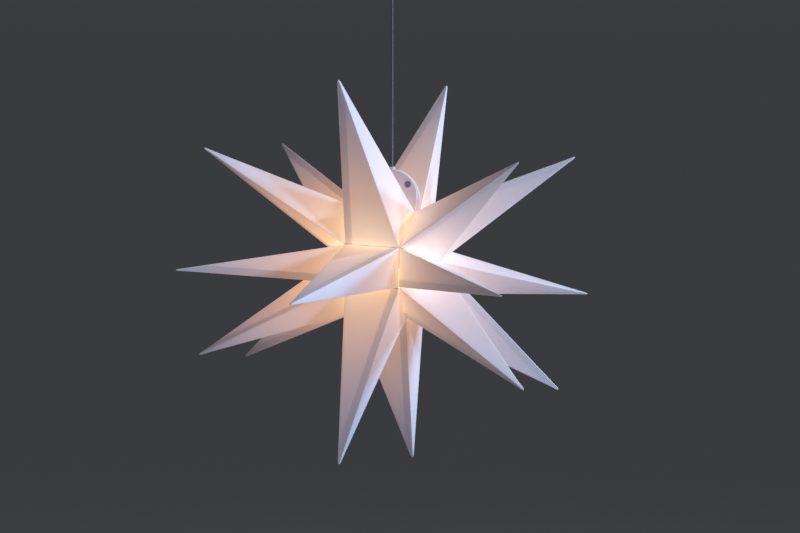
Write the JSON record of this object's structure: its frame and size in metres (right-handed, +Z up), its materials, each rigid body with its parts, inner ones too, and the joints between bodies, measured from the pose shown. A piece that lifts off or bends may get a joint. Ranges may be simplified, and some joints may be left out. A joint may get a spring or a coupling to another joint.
{
  "type": "folding christmas star lantern",
  "caption": "Hollow folded sheet star with long points, lit from inside, with a top closure that opens for the lamp, hung on a thin cord from a ceiling cup.",
  "frame": {"origin": "centre of the mounting plate's upper face, on the ceiling", "axes": "+Z up, into the ceiling; the star's ring axis along X, right is +X, front is -Y"},
  "size_m": [0.4386, 0.5496, 0.639],
  "materials": {
    "star_sheet": "satin, translucent, lit from inside",
    "press_stud": "smooth",
    "moulded_white": "semi-gloss, faint moulding texture",
    "cord_sheath": "smooth, slightly translucent",
    "contact_brass": "bright",
    "wire_red": "smooth",
    "plated_metal": "nickel plated",
    "insulator_black": "glossy",
    "board_white": "solder resist",
    "light_chip": "glossy, lit",
    "lamp_globe": "opal, lit",
    "zinc_steel": "zinc plated"
  },
  "bodies": {
    "ceiling_fitting": {"mounting_plate": "zinc_steel", "ceiling_cup": "moulded_white", "cup_screws": "zinc_steel", "cord_grip": "moulded_white", "grip_locknut": "moulded_white", "grip_nut": "moulded_white", "terminal_block": "moulded_white", "cord_tail": "cord_sheath"},
    "cord": {"cord": "cord_sheath"},
    "star": {"front_left_spike": "star_sheet", "front_middle_spike": "star_sheet", "front_right_spike": "star_sheet", "cord_stop": "moulded_white", "holder_cap": "moulded_white", "holder_body": "moulded_white", "thread_sleeve": "contact_brass", "centre_contact": "contact_brass", "holder_leads": "wire_red"},
    "upper_front_segment": {"upper_front_left_spike": "star_sheet", "upper_front_middle_spike": "star_sheet", "upper_front_right_spike": "star_sheet", "front_closing_tab": "star_sheet", "stud_balls": "press_stud"},
    "lower_front_segment": {"lower_front_left_spike": "star_sheet", "lower_front_middle_spike": "star_sheet", "lower_front_right_spike": "star_sheet"},
    "lower_rear_segment": {"lower_rear_left_spike": "star_sheet", "lower_rear_middle_spike": "star_sheet", "lower_rear_right_spike": "star_sheet"},
    "rear_segment": {"rear_left_spike": "star_sheet", "rear_middle_spike": "star_sheet", "rear_right_spike": "star_sheet"},
    "upper_rear_segment": {"upper_rear_left_spike": "star_sheet", "upper_rear_middle_spike": "star_sheet", "upper_rear_right_spike": "star_sheet", "rear_closing_tab": "star_sheet", "stud_sockets": "press_stud"},
    "lamp_tip": {"lamp_tip_contact": "plated_metal"},
    "lamp": {"lamp_insulator": "insulator_black", "lamp_screw_shell": "plated_metal", "lamp_collar": "moulded_white", "light_board": "board_white", "light_chips": "light_chip", "lamp_globe": "lamp_globe"}
  },
  "joints": [
    {"name": "cord_swing", "type": "hinge", "parent": "ceiling_fitting", "child": "cord", "pos_m": [0, 0, -0.033], "axis": [0, 1, 0], "range_deg": [-12, 12]},
    {"name": "cord_twist", "type": "hinge", "parent": "cord", "child": "star", "pos_m": [0, 0, -0.29018], "axis": [0, 0, 1], "range_deg": [-180, 180]},
    {"name": "upper_front_fold", "type": "hinge", "parent": "star", "child": "upper_front_segment", "pos_m": [-0.00471, -0.05396, -0.36506], "axis": [0.998, 0, -0.0628], "range_deg": [0, 28]},
    {"name": "lower_front_fold", "type": "hinge", "parent": "star", "child": "lower_front_segment", "pos_m": [-0.00777, -0.04722, -0.41361], "axis": [-0.998, 0, 0.0628], "range_deg": [0, 28]},
    {"name": "lower_rear_fold", "type": "hinge", "parent": "lower_front_segment", "child": "lower_rear_segment", "pos_m": [-0.01017, -0.01727, -0.45181], "axis": [-0.998, 0, 0.0628], "range_deg": [0, 28]},
    {"name": "rear_fold", "type": "hinge", "parent": "lower_rear_segment", "child": "rear_segment", "pos_m": [-0.00836, 0.04168, -0.42307], "axis": [-0.998, 0, 0.0628], "range_deg": [0, 28]},
    {"name": "upper_rear_fold", "type": "hinge", "parent": "rear_segment", "child": "upper_rear_segment", "pos_m": [-0.00445, 0.05262, -0.36089], "axis": [-0.998, 0, 0.0628], "range_deg": [0, 28]},
    {"name": "lamp_travel", "type": "slide", "parent": "star", "child": "lamp_tip", "axis": [0, 0, -1], "range_m": [0, 0.00987]},
    {"name": "lamp_turn", "type": "hinge", "parent": "lamp_tip", "child": "lamp", "pos_m": [0, 0, -0.35], "axis": [0, 0, 1], "range_deg": [0, 1260]}
  ],
  "couplings": [
    {"joint": "lamp_turn", "follows": "lamp_travel", "rad_per_m": 2228.1}
  ]
}
